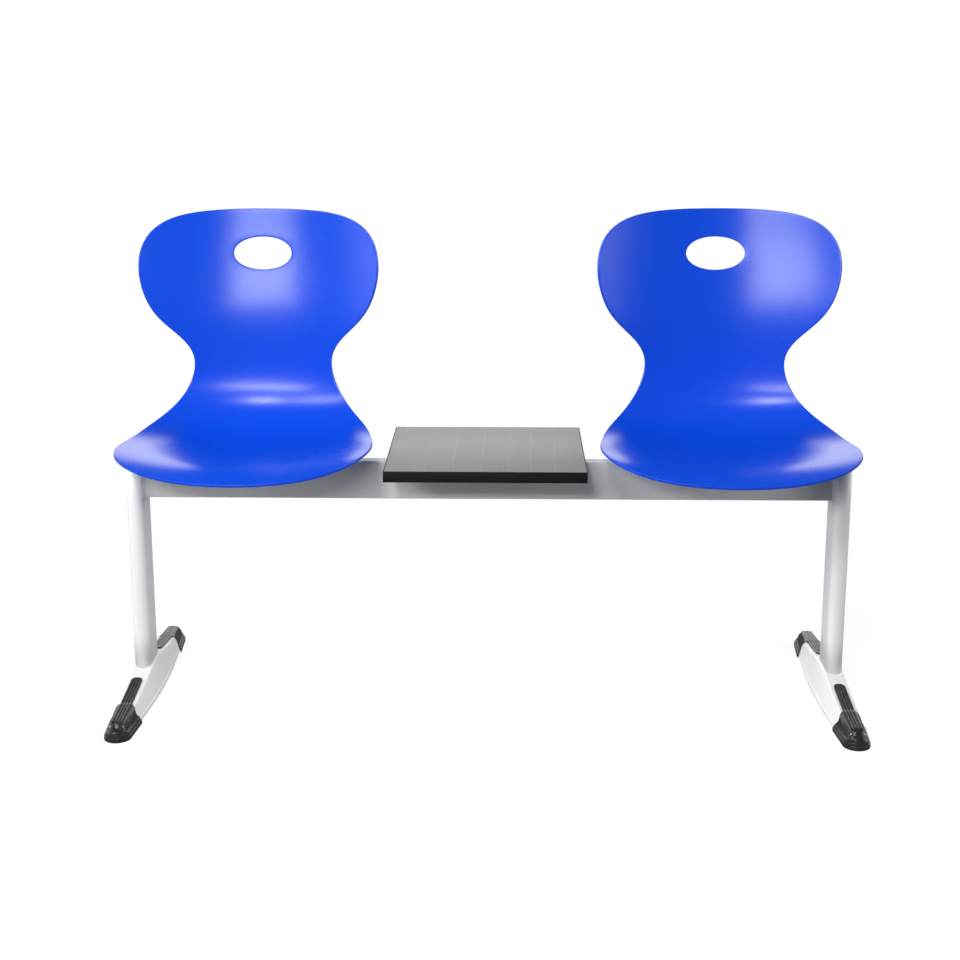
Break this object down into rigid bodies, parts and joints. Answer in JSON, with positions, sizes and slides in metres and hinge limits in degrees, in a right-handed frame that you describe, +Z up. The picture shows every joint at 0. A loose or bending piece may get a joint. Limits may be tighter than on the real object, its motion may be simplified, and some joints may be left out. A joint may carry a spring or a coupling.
{
  "type": "beam bench with seat shells and table board",
  "caption": "Free-standing beam bench: moulded seat shells with hand holes on a steel beam, a small table board between them, columns on splayed feet with moulded caps.",
  "frame": {"origin": "on the floor, under the middle of the bench", "axes": "+X along the beam to the right as seen from the front, +Y to the backs of the seats, +Z up"},
  "size_m": [1.267, 0.492, 0.825],
  "materials": {
    "frame_paint": "light grey powder coat, satin",
    "shell_plastic": "moulded polypropylene, satin with a fine grain",
    "cap_plastic": "moulded nylon, semi-gloss",
    "plug_plastic": "moulded polyethylene",
    "board_laminate": "grey wood-grain laminate, satin",
    "edge_plastic": "black edge band, satin",
    "board_core": "chipboard",
    "screw_steel": "zinc plated",
    "insert_brass": "turned"
  },
  "bodies": {
    "root": {"beam": "frame_paint", "column_left": "frame_paint", "column_plug_left": "plug_plastic", "foot_left": "frame_paint", "foot_cap_front_left": "cap_plastic", "foot_cap_rear_left": "cap_plastic", "seat_shell_left": "shell_plastic", "shell_inserts_left": "insert_brass", "seat_screws_left": "screw_steel", "seat_washers_left": "screw_steel", "seat_carrier_left_outer": "frame_paint", "seat_carrier_left_inner": "frame_paint", "table_carrier_left": "frame_paint", "column_right": "frame_paint", "column_plug_right": "plug_plastic", "foot_right": "frame_paint", "foot_cap_front_right": "cap_plastic", "foot_cap_rear_right": "cap_plastic", "seat_shell_right": "shell_plastic", "shell_inserts_right": "insert_brass", "seat_screws_right": "screw_steel", "seat_washers_right": "screw_steel", "seat_carrier_right_outer": "frame_paint", "seat_carrier_right_inner": "frame_paint", "table_carrier_right": "frame_paint", "table_core": "board_core", "table_laminate_top": "board_laminate", "table_laminate_bottom": "board_laminate", "edge_band_front": "edge_plastic", "edge_band_rear": "edge_plastic", "edge_band_left": "edge_plastic", "edge_band_right": "edge_plastic", "table_screws": "screw_steel"}
  },
  "joints": []
}
